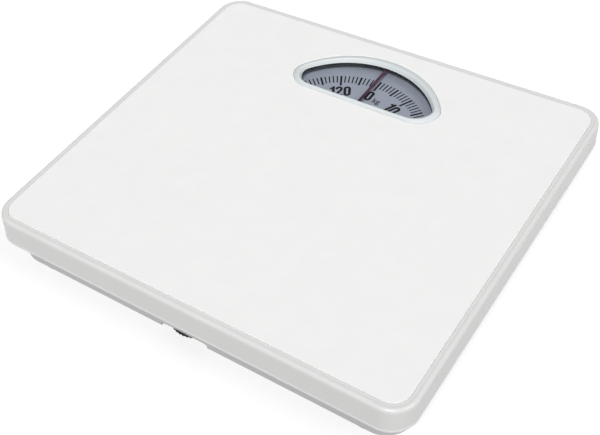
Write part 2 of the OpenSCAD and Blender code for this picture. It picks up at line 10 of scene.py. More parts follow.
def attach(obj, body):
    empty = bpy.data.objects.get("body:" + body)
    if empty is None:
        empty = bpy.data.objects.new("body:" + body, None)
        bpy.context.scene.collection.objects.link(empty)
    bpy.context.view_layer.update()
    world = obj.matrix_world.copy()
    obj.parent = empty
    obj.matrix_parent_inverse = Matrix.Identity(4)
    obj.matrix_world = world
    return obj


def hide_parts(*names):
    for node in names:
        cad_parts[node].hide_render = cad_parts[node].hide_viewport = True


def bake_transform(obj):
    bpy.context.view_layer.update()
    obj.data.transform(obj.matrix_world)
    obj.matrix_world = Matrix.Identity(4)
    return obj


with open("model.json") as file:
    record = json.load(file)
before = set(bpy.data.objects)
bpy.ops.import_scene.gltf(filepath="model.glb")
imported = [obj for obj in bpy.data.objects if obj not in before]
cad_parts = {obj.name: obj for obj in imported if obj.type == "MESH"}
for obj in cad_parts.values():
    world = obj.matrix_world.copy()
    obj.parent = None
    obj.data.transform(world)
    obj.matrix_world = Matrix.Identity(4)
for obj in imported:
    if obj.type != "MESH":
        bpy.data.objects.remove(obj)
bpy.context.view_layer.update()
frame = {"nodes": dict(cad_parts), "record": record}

NODES = frame["nodes"]
MM = 0.001

# ---------------------------------------------------------------- main sizes, millimetres
COVER = (135.0, 124.35, 15.0)      # half width, half depth, corner radius
FLARE = (0.5, 1.9, 0.8)            # how much more each of these is at the skirt's lower edge
HEM_Z = 24.5
BASE = (129.5, 118.85, 16.0)
PLATE_Z, UNDER_Z, MAT_Z = 39.8, 38.6, 41.0
WIN = (45.4, 64.4, 102.5, 54.0, 12.0)   # half width, near edge, far edge, arc radius, corner radius
DIAL_Y, DIAL_Z = 40.2, 33.5
LENS_Z, LIP_Z, COLLAR_Z = 38.4, 39.6, 37.8
ZERO = (-4.0, -104.5)
FEET = [(sx * 107.0, sy * 103.4) for sx in (-1, 1) for sy in (-1, 1)]


# ================================================================ mesh helpers
class Shell:
    """Collects vertices and faces in millimetres."""

    def __init__(self):
        self.v, self.f, self.m = [], [], []

    def ring(self, pts):
        s = len(self.v)
        self.v.extend(tuple(p) for p in pts)
        return list(range(s, s + len(pts)))

    def face(self, idx, m=0):
        self.f.append(tuple(idx))
        self.m.append(m)

    def bridge(self, a, b, m=0, wrap=True):
        n = len(a)
        for i in range(n if wrap else n - 1):
            j = (i + 1) % n
            self.face((a[i], a[j], b[j], b[i]), m)

    def loft(self, rings, m=0):
        for a, b in zip(rings, rings[1:]):
            self.bridge(a, b, m)

    def fill(self, loops, m=0):
        """Flat region between an outer loop and the loops of its holes."""
        bm = bmesh.new()
        index = {}
        edges = []
        for loop in loops:
            vs = []
            for i in loop:
                w = bm.verts.new(self.v[i])
                index[w] = i
                vs.append(w)
            for a, b in zip(vs, vs[1:] + vs[:1]):
                edges.append(bm.edges.new((a, b)))
        bmesh.ops.triangle_fill(bm, use_beauty=True, use_dissolve=False, edges=edges, normal=(0, 0, 1))
        for f in bm.faces:
            self.face([index[w] for w in f.verts], m)
        bm.free()

    def tube(self, pts, rad, sides=10, closed=False, m=0):
        """Round wire along a line of points, with frames carried along it."""
        p = [Vector(q) for q in pts]
        n = len(p)
        rings = []
        tang = []
        for i in range(n):
            a, b = (p[i - 1], p[(i + 1) % n]) if closed else (p[max(i - 1, 0)], p[min(i + 1, n - 1)])
            tang.append((b - a).normalized())
        ref = Vector((0, 0, 1)) if abs(tang[0].z) < 0.9 else Vector((1, 0, 0))
        nor = tang[0].cross(ref).normalized()
        for i in range(n):
            if i:
                q = tang[i - 1].rotation_difference(tang[i])
                nor = (q @ nor).normalized()
            bi = tang[i].cross(nor)
            rings.append(self.ring([p[i] + (nor * math.cos(t) + bi * math.sin(t)) * rad
                                    for t in (2 * math.pi * k / sides for k in range(sides))]))
        self.loft(rings, m)
        self.face(list(reversed(rings[0])), m)
        self.face(rings[-1], m)

    def turned(self, prof, cx=0.0, cy=0.0, n=64, m=0, closed=True):
        """Solid of revolution about a vertical axis from a closed profile of (radius, height)."""
        rings = [self.ring([(cx + r * math.cos(2 * math.pi * k / n), cy + r * math.sin(2 * math.pi * k / n), z)
                            for k in range(n)]) for r, z in prof]
        self.loft(rings, m)
        if closed:
            self.bridge(rings[-1], rings[0], m)
        else:
            self.face(list(reversed(rings[0])), m)
            self.face(rings[-1], m)

    def object(self, name, mats, sharp=32.0, weighted=False):
        me = bpy.data.meshes.new(name)
        me.from_pydata([Vector(p) * MM for p in self.v], [], self.f)
        for m in mats:
            me.materials.append(m)
        me.polygons.foreach_set("material_index", self.m)
        bm = bmesh.new()
        bm.from_mesh(me)
        bmesh.ops.recalc_face_normals(bm, faces=bm.faces)
        bm.to_mesh(me)
        bm.free()
        return finish_object(name, me, sharp, weighted)


def finish_object(name, me, sharp=32.0, weighted=False):
    me.polygons.foreach_set("use_smooth", [True] * len(me.polygons))
    me.set_sharp_from_angle(angle=math.radians(sharp))
    me.update()
    o = bpy.data.objects.new(name, me)
    bpy.context.scene.collection.objects.link(o)
    if weighted:
        w = o.modifiers.new("weighted", "WEIGHTED_NORMAL")
        w.keep_sharp = True
        w.weight = 80
    return o


def settled(o):
    """The object's mesh with its modifiers in it."""
    dg = bpy.context.evaluated_depsgraph_get()
    me = bpy.data.meshes.new_from_object(o.evaluated_get(dg))
    return me


def rr(shape, inset, z, n=22):
    """Ring round a rectangle with round corners, drawn in by inset."""
    hw, hd, r = shape[0] - inset, shape[1] - inset, max(shape[2] - inset, 0.6)
    out = []
    for cx, cy, a0 in ((hw - r, hd - r, 0), (r - hw, hd - r, 90), (r - hw, r - hd, 180), (hw - r, r - hd, 270)):
        for i in range(n + 1):
            a = math.radians(a0 + 90 * i / n)
            out.append((cx + r * math.cos(a), cy + r * math.sin(a), z))
    return out


def skirt(inset, z):
    """Ring of the cover, which widens from the rim to the lower edge of its skirt."""
    k = min(max((39.2 - z) / (39.2 - HEM_Z), 0.0), 1.0)
    return rr([c + k * f for c, f in zip(COVER, FLARE)], inset, z)


def arc(cx, cy, r, a0, a1, n):
    return [(cx + r * math.cos(math.radians(a0 + (a1 - a0) * i / n)),
             cy + r * math.sin(math.radians(a0 + (a1 - a0) * i / n))) for i in range(n + 1)]


WIN_C = np.array((0.0, 80.0))


def window_radius(ang, hw, y0, y1, ar, rc):
    """Distance from the window's middle to its outline, along each angle."""
    d = np.stack((np.cos(ang), np.sin(ang)), 1)
    lo, hi = np.zeros(len(ang)), np.full(len(ang), 200.0)
    for _ in range(46):
        mid = (lo + hi) / 2
        p = WIN_C + d * mid[:, None]
        inside = (p[:, 0] ** 2 + (p[:, 1] - (y1 - ar)) ** 2) <= ar * ar
        q = np.stack((np.abs(p[:, 0]) - (hw - rc), np.abs(p[:, 1] - (y0 + 40)) - (40 - rc)), 1)
        out = np.linalg.norm(np.maximum(q, 0), axis=1) + np.minimum(q.max(1), 0)
        inside &= out <= rc
        lo, hi = np.where(inside, mid, lo), np.where(inside, hi, mid)
    return lo


def _win_angles(n):
    a = np.linspace(0, 2 * math.pi, 4001)[:-1]
    r = window_radius(a, *WIN)
    p = WIN_C + np.stack((np.cos(a), np.sin(a)), 1) * r[:, None]
    step = np.linalg.norm(np.roll(p, -1, 0) - p, axis=1)
    s = np.concatenate(([0], np.cumsum(step)))
    return np.interp(np.linspace(0, s[-1], n + 1)[:-1], s, np.concatenate((a, [2 * math.pi])))


WIN_N = 288
WIN_ANG = _win_angles(WIN_N)


def window(hw, near, far, ar, rc, soften=10):
    """Outline of the window grown by the given amounts, with its corners softened, as an array of points."""
    r = window_radius(WIN_ANG, WIN[0] + hw, WIN[1] - near, WIN[2] + far, WIN[3] + ar, WIN[4] + rc)
    p = WIN_C + np.stack((np.cos(WIN_ANG), np.sin(WIN_ANG)), 1) * r[:, None]
    for _ in range(soften):
        p = 0.5 * p + 0.25 * (np.roll(p, 1, 0) + np.roll(p, -1, 0))
    return p


def at(p, z):
    return [(x, y, z) for x, y in p]


# ================================================================ materials
def material(name, colour, rough=0.4, metal=0.0, spread=0.03, scale=300.0, bump=0.0, bump_scale=900.0,
             rough_spread=0.06, coat=0.0, spec=None, stretch=None, speck=0.0, detail=4.0):
    """Painted, moulded or metal surface: colour and gloss that wander a little, and a fine relief."""
    m = bpy.data.materials.new(name)
    m.use_nodes = True
    t = m.node_tree
    b = t.nodes["Principled BSDF"]
    b.inputs["Metallic"].default_value = metal
    if coat:
        b.inputs["Coat Weight"].default_value = coat
        b.inputs["Coat Roughness"].default_value = 0.12
    if spec is not None:
        b.inputs["Specular IOR Level"].default_value = spec
    co = t.nodes.new("ShaderNodeTexCoord")
    src = co.outputs["Object"]
    if stretch:
        mp = t.nodes.new("ShaderNodeMapping")
        mp.inputs["Scale"].default_value = stretch
        t.links.new(src, mp.inputs["Vector"])
        src = mp.outputs["Vector"]
    n = t.nodes.new("ShaderNodeTexNoise")
    n.inputs["Scale"].default_value = scale
    n.inputs["Detail"].default_value = detail
    t.links.new(src, n.inputs["Vector"])
    ramp = t.nodes.new("ShaderNodeValToRGB")
    c = np.array(colour[:3], float)
    ramp.color_ramp.elements[0].position = 0.3
    ramp.color_ramp.elements[1].position = 0.72
    ramp.color_ramp.elements[0].color = (*np.clip(c * (1 - spread), 0, 1), 1)
    ramp.color_ramp.elements[1].color = (*np.clip(c * (1 + spread), 0, 1), 1)
    t.links.new(n.outputs["Fac"], ramp.inputs["Fac"])
    colour_out = ramp.outputs["Color"]
    if speck:
        v = t.nodes.new("ShaderNodeTexVoronoi")
        v.inputs["Scale"].default_value = scale * 5
        t.links.new(src, v.inputs["Vector"])
        sr = t.nodes.new("ShaderNodeMapRange")
        sr.inputs["From Min"].default_value = 0.02
        sr.inputs["From Max"].default_value = 0.16
        sr.inputs["To Min"].default_value = speck
        sr.inputs["To Max"].default_value = 0.0
        t.links.new(v.outputs["Distance"], sr.inputs["Value"])
        mx = t.nodes.new("ShaderNodeMixRGB")
        mx.blend_type = "MULTIPLY"
        mx.inputs["Color2"].default_value = (*np.clip(c * 0.5, 0, 1), 1)
        t.links.new(sr.outputs["Result"], mx.inputs["Fac"])
        t.links.new(colour_out, mx.inputs["Color1"])
        colour_out = mx.outputs["Color"]
    t.links.new(colour_out, b.inputs["Base Color"])
    rr_ = t.nodes.new("ShaderNodeMapRange")
    rr_.inputs["From Min"].default_value = 0.3
    rr_.inputs["From Max"].default_value = 0.7
    rr_.inputs["To Min"].default_value = rough - rough_spread
    rr_.inputs["To Max"].default_value = rough + rough_spread
    t.links.new(n.outputs["Fac"], rr_.inputs["Value"])
    t.links.new(rr_.outputs["Result"], b.inputs["Roughness"])
    if bump:
        n2 = t.nodes.new("ShaderNodeTexNoise")
        n2.inputs["Scale"].default_value = bump_scale
        n2.inputs["Detail"].default_value = 3.0
        t.links.new(src, n2.inputs["Vector"])
        bp = t.nodes.new("ShaderNodeBump")
        bp.inputs["Strength"].default_value = bump
        bp.inputs["Distance"].default_value = 0.0002
        t.links.new(n2.outputs["Fac"], bp.inputs["Height"])
        t.links.new(bp.outputs["Normal"], b.inputs["Normal"])
    return m


M = {}
M["cover_paint"] = material("cover_paint_white", (0.72, 0.72, 0.714), 0.34, spread=0.012, scale=60, bump=0.05,
                            bump_scale=700, rough_spread=0.04, coat=0.2)
M["mat"] = material("mat_vinyl", (0.874, 0.874, 0.870), 0.62, spread=0.008, scale=90, bump=0.10, bump_scale=2600,
                    rough_spread=0.05)
M["bezel"] = material("bezel_plastic", (0.668, 0.706, 0.716), 0.5, spread=0.012, scale=120, bump=0.02, bump_scale=500,
                      rough_spread=0.04)
# dark ring under the lens: its near-black navy is partly the ring's own dark plastic and partly painted shade for the
# shade under the window's far edge
M["seal"] = material("dark_ring_and_painted_shade", (0.006, 0.011, 0.014), 0.55, spread=0.25, scale=700, bump=0.1)
M["pointer"] = material("pointer_red", (0.078, 0.022, 0.054), 0.35, spread=0.12, scale=900)
M["dial_face"] = material("dial_card", (0.367, 0.382, 0.452), 0.5, spread=0.025, scale=160, bump=0.05, bump_scale=1800)
M["ink"] = material("dial_ink", (0.004, 0.004, 0.007), 0.6, spread=0.3, scale=1500, spec=0.1)
M["ink_unit"] = material("dial_ink_unit", (0.03, 0.033, 0.055), 0.5, spread=0.2, scale=1500)
# base paint: grey, and made darker still as painted shade standing in for the shade under the cover's overhanging skirt
M["base_paint"] = material("base_paint_grey_and_painted_shade", (0.545, 0.55, 0.55), 0.4, spread=0.02, scale=60, bump=0.08,
                           bump_scale=700, rough_spread=0.05)
M["foot"] = material("foot_rubber", (0.60, 0.605, 0.605), 0.72, spread=0.05, scale=400, bump=0.25, bump_scale=1500)
M["zinc"] = material("zinc_sheet", (0.60, 0.62, 0.64), 0.36, 1.0, spread=0.08, scale=120, bump=0.12, bump_scale=500,
                     stretch=(1, 6, 6), rough_spread=0.08)
M["fixings"] = material("zinc_fixings", (0.64, 0.64, 0.66), 0.30, 1.0, spread=0.08, scale=500, bump=0.08,
                        rough_spread=0.08)
M["lever"] = material("lever_steel", (0.50, 0.51, 0.53), 0.42, 1.0, spread=0.10, scale=90, bump=0.15, bump_scale=400,
                      stretch=(6, 1, 6), rough_spread=0.1)
M["pin"] = material("ground_pin", (0.70, 0.70, 0.72), 0.2, 1.0, spread=0.05, scale=600, bump=0.05, rough_spread=0.06)
M["spring"] = material("spring_wire", (0.42, 0.43, 0.45), 0.30, 1.0, spread=0.10, scale=800, bump=0.08,
                       rough_spread=0.08)
M["brass"] = material("turned_brass", (0.72, 0.52, 0.23), 0.28, 1.0, spread=0.08, scale=300, bump=0.08,
                      stretch=(1, 1, 9), rough_spread=0.08)
M["black_plastic"] = material("black_moulded", (0.012, 0.012, 0.013), 0.45, spread=0.3, scale=500, bump=0.2,
                              bump_scale=1800)


def lens_material():
    m = bpy.data.materials.new("lens_clear")
    m.use_nodes = True
    t = m.node_tree
    t.nodes.clear()
    out = t.nodes.new("ShaderNodeOutputMaterial")
    mix = t.nodes.new("ShaderNodeMixShader")
    clear = t.nodes.new("ShaderNodeBsdfTransparent")
    clear.inputs["Color"].default_value = (0.965, 0.98, 0.985, 1)
    gloss = t.nodes.new("ShaderNodeBsdfGlossy")
    gloss.inputs["Color"].default_value = (1, 1, 1, 1)
    gloss.inputs["Roughness"].default_value = 0.06
    co = t.nodes.new("ShaderNodeTexCoord")
    n = t.nodes.new("ShaderNodeTexNoise")
    n.inputs["Scale"].default_value = 90
    t.links.new(co.outputs["Object"], n.inputs["Vector"])
    bp = t.nodes.new("ShaderNodeBump")
    bp.inputs["Strength"].default_value = 0.02
    bp.inputs["Distance"].default_value = 0.0002
    t.links.new(n.outputs["Fac"], bp.inputs["Height"])
    t.links.new(bp.outputs["Normal"], gloss.inputs["Normal"])
    lw = t.nodes.new("ShaderNodeLayerWeight")
    fr = t.nodes.new("ShaderNodeValToRGB")
    fr.color_ramp.elements[0].position = 0.0
    fr.color_ramp.elements[0].color = (0.018, 0.018, 0.018, 1)
    fr.color_ramp.elements[1].position = 1.0
    fr.color_ramp.elements[1].color = (0.9, 0.9, 0.9, 1)
    for pos, val in ((0.4, 0.025), (0.65, 0.07), (0.82, 0.22)):
        e = fr.color_ramp.elements.new(pos)
        e.color = (val, val, val, 1)
    t.links.new(lw.outputs["Facing"], fr.inputs["Fac"])
    t.links.new(fr.outputs["Color"], mix.inputs["Fac"])
    t.links.new(clear.outputs["BSDF"], mix.inputs[1])
    t.links.new(gloss.outputs["BSDF"], mix.inputs[2])
    t.links.new(mix.outputs["Shader"], out.inputs["Surface"])
    return m


M["lens"] = lens_material()

# every carried-over CAD node takes the material of its slot
SLOT = {s["node"]: s["material_slot"] for s in frame["record"]["subparts"]}
for name, o in NODES.items():
    o.data.materials.clear()
    o.data.materials.append(M[SLOT[name]])


def piece(o, body, slot, *nodes):
    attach(o, body)
    if nodes:
        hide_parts(*nodes)
    return o


# ================================================================ camera
f_px, az, el, roll = 965.694, math.radians(40.777), math.radians(48.435), math.radians(-8.097)
back = Vector((math.sin(az) * math.cos(el), -math.cos(az) * math.cos(el), math.sin(el)))
rt = Vector((math.cos(az), math.sin(az), 0))
up = back.cross(rt)
rt2 = rt * math.cos(roll) + up * math.sin(roll)
up2 = up * math.cos(roll) - rt * math.sin(roll)
cam = bpy.data.cameras.new("camera")
cam_o = bpy.data.objects.new("camera", cam)
bpy.context.scene.collection.objects.link(cam_o)
cam_o.matrix_world = Matrix.Translation((0.235966, -0.345235, 0.428002)) @ Matrix(
    ((rt2.x, up2.x, back.x), (rt2.y, up2.y, back.y), (rt2.z, up2.z, back.z))).to_4x4()
cam.sensor_width = 36.0
cam.lens = f_px * 36.0 / 600.0
cam.shift_x = (300 - 234.651) / 600.0
cam.shift_y = (265.888 - 217.5) / 600.0
cam.clip_start, cam.clip_end = 0.02, 50
bpy.context.scene.camera = cam_o

# ================================================================ cover
s = Shell()
bead = [(3.2, 40.655), (3.0, 40.68), (2.8, 40.722), (2.6, 40.762), (2.4, 40.786), (2.2, 40.792), (2.0, 40.782),
        (1.75, 40.742), (1.5, 40.672), (1.25, 40.572), (1.0, 40.44), (0.8, 40.305), (0.62, 40.15), (0.46, 39.98),
        (0.33, 39.81), (0.22, 39.62), (0.13, 39.4), (0.06, 39.12), (0.02, 38.85), (0.0, 38.55)]
prof = ([(4.6, PLATE_Z), (4.6, 40.66), (4.55, 40.72), (4.45, 40.745), (4.0, 40.70), (3.5, 40.66)] + bead +
        [(0.04, 36.0)] + [(d, HEM_Z + h) for d, h in (
            (0.26, 1.9), (0.26, 1.65), (0.19, 1.48), (0.07, 1.3), (0.0, 1.05), (0.0, 0.55), (0.08, 0.28), (0.28, 0.08),
            (0.6, 0.0), (1.2, 0.02), (1.7, 0.2), (2.0, 0.55), (2.1, 1.0), (2.1, 2.4), (2.02, 2.8), (1.75, 3.1),
            (1.5, 3.4), (1.42, 3.9))] +
        [(1.25, 36.2), (1.45, 37.2), (1.9, 37.95), (2.6, 38.4), (3.5, UNDER_Z)])
rings = [s.ring(skirt(d, z)) for d, z in prof]
s.loft(rings)
hole = window(2.7, 2.2, 3.2, 2.0, 2.2)
h0, h1 = s.ring(at(hole, PLATE_Z)), s.ring(at(hole, UNDER_Z))
s.fill([rings[0], h0])
s.fill([rings[-1], h1])
s.bridge(h0, h1)
piece(s.object("cover_shell", [M["cover_paint"]], 40, True), "platform", "cover_paint", "platform_cover")

# ================================================================ mat
s = Shell()
edge = [(4.72, PLATE_Z), (4.7, 40.76), (4.72, 40.86), (4.78, 40.94), (4.88, 40.985), (5.05, MAT_Z)]
rings = [s.ring(rr(COVER, d, z)) for d, z in edge]
s.loft(rings)
inner = [window(5.6 + g, 3.1 + g, 6.3 + g, 3.2 + g, 3.2 + g) for g in (0.0, 0.0, 0.05, 0.18, 0.36, 0.6)]
hr = [s.ring(at(p, z)) for p, (_, z) in zip(inner, edge)]
s.loft(hr)
s.fill([rings[-1], hr[-1]])
s.fill([rings[0], hr[0]])
piece(s.object("mat_sheet", [M["mat"]], 40, True), "platform", "mat", "platform_mat")

# ================================================================ window: bezel, lens, its retainer
def grown(g):
    return window(g, g, g, g, g)


s = Shell()
outer = window(5.4, 2.9, 6.1, 3.0, 3.0)
inner = grown(0.0)
collar = window(2.5, 2.0, 3.0, 1.8, 2.0)
section = [(0.0, PLATE_Z), (0.0, 40.55), (0.006, 40.68), (0.02, 40.82), (0.044, 40.93), (0.088, 41.08), (0.158, 41.29),
           (0.246, 41.53), (0.333, 41.75), (0.421, 41.94), (0.509, 42.09), (0.58, 42.17), (0.65, 42.2),
           (0.70, 42.17), (0.74, 42.08), (0.78, 41.92), (0.82, 41.68), (0.87, 41.25), (0.92, 40.7),
           (0.965, 40.1), (1.0, 39.68), (1.0, LIP_Z)]
rings = [s.ring(at(outer + (inner - outer) * k, z)) for k, z in section]
s.loft(rings)
b0, b1 = s.ring(at(grown(1.3), LIP_Z)), s.ring(at(grown(1.3), COLLAR_Z))
c0, c1 = s.ring(at(collar, COLLAR_Z)), s.ring(at(collar, PLATE_Z))
for a, b in ((rings[-1], b0), (b0, b1), (b1, c0), (c0, c1), (c1, rings[0])):
    s.bridge(a, b)
piece(s.object("bezel_ring", [M["bezel"]], 40, True), "platform", "bezel", "window_bezel")

# dark ring under the lens, with its rebate: a dark part whose near-black colour also stands in for the shade under the
# window's far edge (painted shade)
s = Shell()
loop = [s.ring(at(grown(g), z)) for g, z in (
    (0.0, 38.3), (0.0, 37.92), (0.1, 37.82), (1.16, COLLAR_Z), (1.28, 37.92), (1.28, 39.58), (0.985, 39.58),
    (0.985, LENS_Z), (0.1, LENS_Z))]
for a, b in zip(loop, loop[1:] + loop[:1]):
    s.bridge(a, b)
piece(s.object("retainer_ring", [M["seal"]], 40), "platform", "black_plastic", "lens_retainer")

s = Shell()
edge = grown(0.94)
mid = WIN_C + np.array((0.0, 4.0))
rings = [s.ring(at(mid + (edge - mid) * k, z)) for k, z in
         ((0.997, LENS_Z), (1.0, 38.46), (1.0, 39.5), (0.997, 39.56), (0.96, 39.57), (0.8, 39.65), (0.6, 39.72),
          (0.4, 39.77), (0.2, 39.8))]
s.loft(rings)
s.face(list(reversed(rings[0])))
s.face(rings[-1])
piece(s.object("lens_pane", [M["lens"]], 40), "platform", "lens", "window_lens")


# ================================================================ dial print
def turn(p, deg):
    """Point of the dial's upright print, turned clockwise about the dial's middle."""
    c, q = math.cos(math.radians(deg)), math.sin(math.radians(deg))
    return p[0] * c + p[1] * q, -p[0] * q + p[1] * c + DIAL_Y


PRINT = 0.5    # the print stands this many degrees past the pointer
INK_Z0, INK_Z1 = DIAL_Z - 0.02, DIAL_Z + 0.045
s = Shell()
for k in range(130):
    deg = k * 360 / 130 + PRINT
    if k % 10 == 0:
        w, r0, r1 = 0.66, 45.7, 55.4
    elif k % 5 == 0:
        w, r0, r1 = 0.66, 47.4, 55.4
    else:
        w, r0, r1 = 0.41, 48.65, 55.4
    q = 0.08
    shape = [(-w, r0 + q), (-w + q, r0), (w - q, r0), (w, r0 + q), (w, r1 - q), (w - q, r1), (-w + q, r1), (-w, r1 - q)]
    a = s.ring([(*turn(p, deg), INK_Z0) for p in shape])
    b = s.ring([(*turn(p, deg), INK_Z1) for p in shape])
    s.bridge(a, b)
    s.face(list(reversed(a)))
    s.face(b)
piece(s.object("dial_ticks", [M["ink"]], 30), "dial", "black_plastic")

# ---------------------------------------------------------------- bold narrow figures, drawn from plain outlines
FIG_W, FIG_H = 4.6, 9.3


def slab(x0, y0, x1, y1, r=0.0, n=10):
    """Rectangle, with round corners where a radius is given."""
    if r <= 0:
        return [(x0, y0), (x1, y0), (x1, y1), (x0, y1)]
    out = []
    for cx, cy, a0 in ((x1 - r, y1 - r, 0), (x0 + r, y1 - r, 90), (x0 + r, y0 + r, 180), (x1 - r, y0 + r, 270)):
        out += arc(cx, cy, r, a0, a0 + 90, n)
    return out


def sector(cx, cy, rx, ry, wx, wy, a0, a1, n=40):
    """Part of an oval band: outer half axes rx and ry, widths wx and wy, from angle a0 to a1."""
    ang = [math.radians(a0 + (a1 - a0) * i / n) for i in range(n + 1)]
    return ([(cx + rx * math.cos(q), cy + ry * math.sin(q)) for q in ang] +
            [(cx + (rx - wx) * math.cos(q), cy + (ry - wy) * math.sin(q)) for q in reversed(ang)])


SIX = ([slab(0, 0, 4.6, 9.3, 2.25)],
       [slab(1.7, 1.5, 2.9, 4.25, 0.58), slab(1.7, 5.5, 2.9, 7.8, 0.58), slab(2.3, 5.5, 4.9, 6.45)])
FIGURES = {
    "0": ([slab(0, 0, 4.6, 9.3, 2.25)], [slab(1.7, 1.6, 2.9, 7.7, 0.58)]),
    "1": ([[(0.0, 6.5), (1.5, 6.5), (1.5, 0.0), (3.2, 0.0), (3.2, 9.3), (1.85, 9.3), (1.62, 8.65), (1.2, 8.15),
            (0.65, 7.85), (0.0, 7.75)]], []),
    "2": ([sector(2.3, 6.95, 2.3, 2.35, 1.68, 1.5, -15, 180), slab(0, 6.3, 1.68, 7.0), slab(0, 0, 4.5, 1.55),
           [(4.53, 6.5), (4.15, 5.2), (3.1, 3.7), (2.1, 2.3), (1.9, 1.5), (0, 1.5), (0.35, 2.6), (1.5, 4.3), (2.6, 5.8),
            (2.9, 6.8)]], []),
    "3": ([sector(2.3, 6.9, 2.25, 2.4, 1.66, 1.48, -62, 180), slab(0.05, 6.4, 1.71, 6.95),
           sector(2.3, 2.5, 2.3, 2.5, 1.68, 1.5, -180, 62), slab(0, 2.45, 1.68, 3.0), slab(1.45, 4.15, 3.3, 5.4)], []),
    "4": ([[(0, 2.0), (2.6, 2.0), (2.6, 0), (4.2, 0), (4.2, 9.3), (2.3, 9.3), (0, 3.6)], slab(2.6, 2.0, 4.85, 3.5)],
          [[(1.3, 3.5), (2.6, 3.5), (2.6, 6.9)]]),
    "5": ([slab(0.45, 7.8, 4.3, 9.3), slab(0.45, 4.5, 1.95, 9.3), sector(2.25, 2.95, 2.35, 2.95, 1.68, 1.5, -180, 132),
           slab(-0.1, 2.4, 1.58, 3.0)], []),
    "6": SIX,
    "7": ([slab(0, 7.75, 4.5, 9.3), [(4.5, 7.8), (4.5, 7.3), (3.55, 4.9), (2.95, 2.6), (2.65, 0), (0.95, 0), (1.3, 2.7),
                                     (1.95, 5.2), (2.95, 7.8)]], []),
    "8": ([slab(0.15, 4.3, 4.45, 9.3, 2.1), slab(0, 0, 4.6, 5.1, 2.25)],
          [slab(1.75, 5.55, 2.85, 7.85, 0.53), slab(1.7, 1.5, 2.9, 3.95, 0.58)]),
}
FIGURES["9"] = tuple([[(4.6 - x, 9.3 - y) for x, y in q] for q in part] for part in SIX)


def signed(poly, X, Y):
    """Distance from each grid point to a closed outline, negative inside."""
    d = np.full(X.shape, 1e9)
    inside = np.zeros(X.shape, bool)
    for (x0, y0), (x1, y1) in zip(poly, poly[1:] + poly[:1]):
        ex, ey = x1 - x0, y1 - y0
        k = ex * ex + ey * ey
        if k < 1e-12:
            continue
        h = np.clip(((X - x0) * ex + (Y - y0) * ey) / k, 0, 1)
        d = np.minimum(d, np.hypot(X - x0 - h * ex, Y - y0 - h * ey))
        if abs(ey) > 1e-12:
            hit = ((y0 <= Y) != (y1 <= Y)) & (X < x0 + (Y - y0) * ex / ey)
            inside ^= hit
    return np.where(inside, -d, d)


def thinned(q, tol=0.006):
    """A closed outline without the points that lie on the line between their neighbours."""
    far = int(np.argmax(np.hypot(*(q - q[0]).T)))
    ring, keep, todo = np.concatenate((q, q[:1])), {0, far}, [(0, far), (far, len(q))]
    while todo:
        i, j = todo.pop()
        if j - i < 2:
            continue
        a, e = ring[i], ring[j] - ring[i]
        w = ring[i + 1:j] - a
        d = np.abs(e[0] * w[:, 1] - e[1] * w[:, 0]) / max(np.hypot(*e), 1e-9)
        k = int(np.argmax(d)) + i + 1
        if d[k - i - 1] > tol:
            keep.add(k)
            todo += [(i, k), (k, j)]
    return q[sorted(keep)]


def outlines(parts, holes, step=0.07, swell=0.02):
    """Loops round the joined parts less the holes."""
    gx, gy = np.arange(-0.5, 5.6, step) + 0.0131, np.arange(-0.5, 9.9, step) + 0.0173
    X, Y = np.meshgrid(gx, gy, indexing="ij")
    d = np.min([signed(q, X, Y) for q in parts], axis=0)
    for q in holes:
        d = np.maximum(d, -signed(q, X, Y))
    d = d - swell
    nxt, pos = {}, {}

    def cross(i, j, k):
        """Point on the grid edge from (i, j) along X (k = 0) or along Y (k = 1)."""
        key = (i, j, k)
        if key not in pos:
            a, b = d[i, j], d[i + 1 - k, j + k]
            f = a / (a - b)
            pos[key] = (gx[i] + (step * f if k == 0 else 0), gy[j] + (step * f if k == 1 else 0))
        return key

    neg = d < 0
    busy = neg[:-1, :-1].astype(int) + neg[1:, :-1] + neg[1:, 1:] + neg[:-1, 1:]
    for i, j in zip(*np.nonzero((busy > 0) & (busy < 4))):
        cor = ((i, j), (i + 1, j), (i + 1, j + 1), (i, j + 1))
        edg = ((i, j, 0), (i + 1, j, 1), (i, j + 1, 0), (i, j, 1))
        ins = [bool(neg[c]) for c in cor]
        enter = [k for k in range(4) if not ins[k] and ins[(k + 1) % 4]]
        leave = [k for k in range(4) if ins[k] and not ins[(k + 1) % 4]]
        for e in enter:
            # walk on round the cell to the next way out
            o = next(q % 4 for q in range(e + 1, e + 5) if q % 4 in leave)
            nxt[cross(*edg[o])] = cross(*edg[e])
    loops = []
    while nxt:
        start, at_ = next(iter(nxt.items()))
        loop = [start]
        del nxt[start]
        while at_ != start:
            loop.append(at_)
            at_ = nxt.pop(at_)
        q = np.array([pos[k] for k in loop])
        loops.append(thinned(q))
    return loops


LOOPS = {k: outlines(*v) for k, v in FIGURES.items()}
ADVANCE = {"1": 3.2, "4": 4.85}


